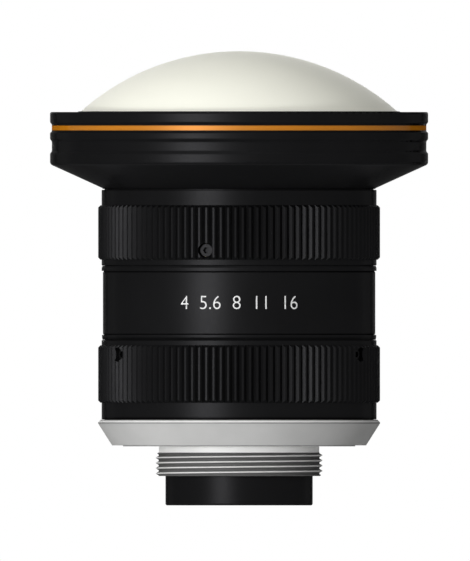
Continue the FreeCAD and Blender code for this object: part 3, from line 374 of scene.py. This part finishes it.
def turned_metal(name, color, roughness, metallic, specular, mark_depth, grain_depth):
    """Turned metal: fine lines round the axis and a fine grain from blasting or anodising."""
    finish = Finish(name, color, roughness, metallic, specular)
    lines = finish.noise(finish.lathe_vector(), MARKS_SCALE, 1)
    speck = finish.noise(finish.position, SPECK_SCALE)
    finish.vary_color(finish.noise(finish.position, CLOUD_SCALE, 3), *CLOUD_SHADES)
    finish.vary_roughness(speck, SPECK_ROUGHNESS)
    marks = finish.math("MULTIPLY", lines, mark_depth)
    grain = finish.math("MULTIPLY", speck, grain_depth)
    finish.bump(finish.math("ADD", marks, grain), BUMP_DEPTH)
    return finish


def dome_glass():
    """Cream-white first element."""
    finish = Finish("dome_glass", (0.955, 0.952, 0.845), roughness=0.45, metallic=0, specular=0.01)
    cloud = finish.noise(finish.position, DOME_CLOUD_SCALE)
    finish.vary_color(cloud, 0.992, 1.008)
    finish.vary_roughness(cloud, 0.02)
    return finish


def coated_glass():
    """Clear glass whose coating leaves a faint green reflection."""
    finish = Finish("coated_glass", (0.97, 0.99, 0.98), roughness=0.02, metallic=0, specular=0.5)
    finish.shader.inputs["Transmission Weight"].default_value = 1
    finish.shader.inputs["IOR"].default_value = 1.6
    finish.shader.inputs["Specular Tint"].default_value = (0.03, 0.07, 0.05, 1)
    finish.vary_roughness(finish.noise(finish.position, GLASS_CLOUD_SCALE), 0.01)
    return finish


def scale_paint():
    """Light grey paint in the engraved numbers."""
    finish = Finish("scale_paint", (0.62, 0.62, 0.62), roughness=0.55, metallic=0, specular=0.3)
    finish.vary_color(finish.noise(finish.position, PAINT_SPECK_SCALE), 0.9, 1.08)
    return finish


def shade_mount(finish):
    """Satin cone with painted light and shade: a bright neck, partly painted light, and painted shade in the
    thread roots and in the lines by height.
    """
    finish.paint_light_and_shade_by(finish.height, MOUNT_PAINTED_LIGHT_AND_SHADE)
    neck = finish.math("MULTIPLY", finish.math("GREATER_THAN", finish.height, THREAD_TOP_Z), NECK_SHIFT)
    finish.paint_light_and_shade_by(finish.math("ADD", finish.radius, neck), THREAD_PAINTED_SHADE)
    finish.by_facing(MOUNT_GLOSS, "Specular IOR Level")


def shade_black(finish):
    """Painted shade in the seams and lines and painted light on the flared foot of the hood, by height; and
    a dyed anodised film, which takes most of the light that would glance off bare metal.
    """
    finish.paint_light_and_shade_by(finish.height, BLACK_PAINTED_LIGHT_AND_SHADE)
    finish.by_facing(FILM_TINT, "Specular Tint")


def shade_orange(finish):
    # Painted shade at both edges of the ring, by height
    finish.paint_light_and_shade_by(finish.height, ORANGE_PAINTED_SHADE)
    finish.by_facing(FILM_TINT, "Specular Tint")
    finish.by_facing(ORANGE_GLOSS, "Specular IOR Level")


def make_materials():
    finishes = {name: turned_metal(name, *values) for name, values in TURNED_METALS.items()}
    shade_mount(finishes["silver_mount"])
    shade_black(finishes["black_aluminium"])
    shade_orange(finishes["orange_accent"])
    finishes["dome_glass"] = dome_glass()
    finishes["coated_glass"] = coated_glass()
    finishes["scale_paint"] = scale_paint()
    return {name: finish.material for name, finish in finishes.items()}


def dress_cad_nodes(materials):
    """Gives every CAD node its finish."""
    slots = {row["node"]: row["material_slot"] for row in frame["record"]["subparts"]}
    for name, node in frame["nodes"].items():
        for slot in node.material_slots:
            slot.link = "DATA"
            slot.material = materials[slots[name]]


# Pieces

def mesh_object(name, mesh, material):
    piece = bpy.data.objects.new(name, mesh)
    bpy.context.collection.objects.link(piece)
    mesh.materials.append(material)
    return piece


def smooth_object(name, mesh, material):
    """Smooth shading, with the corners kept sharp."""
    data = bpy.data.meshes.new(name)
    mesh.to_mesh(data)
    mesh.free()
    data.shade_smooth()
    data.set_sharp_from_angle(angle=math.radians(SHARP_DEGREES))
    return mesh_object(name, data, material)


def add_section(mesh, profile, turn):
    """Puts a section of radii and heights at a share of a turn round the axis."""
    angle = 2 * math.pi * turn
    return [mesh.verts.new((radius * math.cos(angle), radius * math.sin(angle), z)) for radius, z in profile]


def join_sections(mesh, sections):
    """Skins each closed section to the next one."""
    for left, right in zip(sections, sections[1:]):
        for k in range(len(left)):
            after = (k + 1) % len(left)
            mesh.faces.new((left[k], right[k], right[after], left[after]))


def thread_radius(phase):
    """Radius of the 60 degree thread at a phase of its pitch, with a crest at 0 and a root at half."""
    away = abs((phase + 0.5) % 1 - 0.5)
    crest_end = THREAD_CREST / 2
    root_start = (1 - THREAD_ROOT) / 2
    share = min(1, max(0, (away - crest_end) / (root_start - crest_end)))
    return THREAD_R - THREAD_DEPTH * share


def thread_point(turn, row):
    """Radius and height of a point on the helix, held between the two chamfered ends."""
    z = THREAD_FOOT_Z + THREAD_PITCH * (row / THREAD_ROWS + turn)
    z = min(THREAD_TOP_Z, max(THREAD_FOOT_Z, z))
    phase = (z - THREAD_FOOT_Z) / THREAD_PITCH - turn
    end = min(z - THREAD_FOOT_Z, THREAD_TOP_Z - z)
    limit = THREAD_R - max(0, THREAD_CHAMFER - end)
    return min(thread_radius(phase), limit), z


def make_mount_ring(material):
    """Silver mount with a real helical thread, relief neck, raised seat and cone."""
    pitches = math.ceil((THREAD_TOP_Z - THREAD_FOOT_Z) / THREAD_PITCH)
    rows = range(-THREAD_ROWS, (pitches + 1) * THREAD_ROWS + 1)
    body = [(NECK_R, THREAD_TOP_Z), (NECK_R, RELIEF_Z), (RELIEF_R, RELIEF_Z), (RELIEF_R, SEAT_Z),
            (SEAT_R, SEAT_Z), (SEAT_R, SEAT_Z + SEAT_RAISE), (CONE_FOOT_R, SEAT_Z + SEAT_RAISE),
            (RIM_R, CONE_TOP_Z), (RIM_R, RIM_Z), (RIM_R - RIM_CHAMFER, MOUNT_TOP_Z), (STEP_R, MOUNT_TOP_Z),
            (STEP_R, STEP_Z), (CUP_R, STEP_Z), (CUP_R, CUP_FLOOR_Z), (BORE_R, CUP_FLOOR_Z),
            (BORE_R, THREAD_FOOT_Z)]
    mesh = bmesh.new()
    turns = [column / CIRCLE_STEPS for column in range(CIRCLE_STEPS + 1)]
    sections = [add_section(mesh, [thread_point(turn, row) for row in rows] + body, turn) for turn in turns]
    join_sections(mesh, sections)
    bmesh.ops.remove_doubles(mesh, verts=mesh.verts, dist=SAME_POINT)
    bmesh.ops.dissolve_degenerate(mesh, edges=mesh.edges, dist=SAME_POINT)
    bmesh.ops.recalc_face_normals(mesh, faces=mesh.faces)
    piece = smooth_object("mount_ring_threaded", mesh, material)
    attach(piece, "mount_body")
    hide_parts("c_mount_ring")


def make_accent_ring(material):
    """Orange ring pressed into its bed, with both edges broken."""
    low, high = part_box("accent_ring")
    outer_r = high[0]
    inner_r = outer_r - ACCENT_THICKNESS
    foot = low[2] - ACCENT_SPREAD
    top = high[2] + ACCENT_SPREAD
    profile = [(inner_r, foot), (outer_r - ACCENT_EDGE, foot), (outer_r, foot + ACCENT_EDGE),
               (outer_r, top - ACCENT_EDGE), (outer_r - ACCENT_EDGE, top), (inner_r, top)]
    mesh = bmesh.new()
    sections = [add_section(mesh, profile, column / CIRCLE_STEPS) for column in range(CIRCLE_STEPS)]
    join_sections(mesh, sections + sections[:1])
    bmesh.ops.recalc_face_normals(mesh, faces=mesh.faces)
    piece = smooth_object("accent_ring_seated", mesh, material)
    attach(piece, "front_group")
    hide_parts("accent_ring")


def make_numbers(material):
    """Plain numbers bent round the fixed sleeve."""
    text = bpy.data.curves.new("numbers_text", "FONT")
    text.body = NUMBERS
    text.align_x = "CENTER"
    text.size = 1
    text.offset = -NUMBER_THINNING
    flat = bpy.data.objects.new("numbers_flat", text)
    bpy.context.collection.objects.link(flat)
    bpy.context.view_layer.update()
    mesh = bpy.data.meshes.new_from_object(flat.evaluated_get(bpy.context.evaluated_depsgraph_get()))
    bpy.data.objects.remove(flat)
    xs = [vertex.co.x for vertex in mesh.vertices]
    ys = [vertex.co.y for vertex in mesh.vertices]
    centre_x = (max(xs) + min(xs)) / 2
    centre_y = (max(ys) + min(ys)) / 2
    wide = NUMBERS_WIDTH / (max(xs) - min(xs))
    tall = NUMBER_HEIGHT / (max(ys) - min(ys))
    radius = SLEEVE_R + NUMBER_PROUD
    for vertex in mesh.vertices:
        turn = (vertex.co.x - centre_x) * wide / radius
        height = NUMBERS_Z + (vertex.co.y - centre_y) * tall
        vertex.co = (radius * math.sin(turn), -radius * math.cos(turn), height)
    piece = mesh_object("scale_numbers", mesh, material)
    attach(piece, "mount_body")


make_camera()
make_world()
for lamp, settings in LAMPS.items():
    make_lamp(lamp, *settings)
make_floor()
materials = make_materials()
dress_cad_nodes(materials)
make_mount_ring(materials["silver_mount"])
make_accent_ring(materials["orange_accent"])
make_numbers(materials["scale_paint"])

bpy.context.scene.view_settings.view_transform = "Standard"
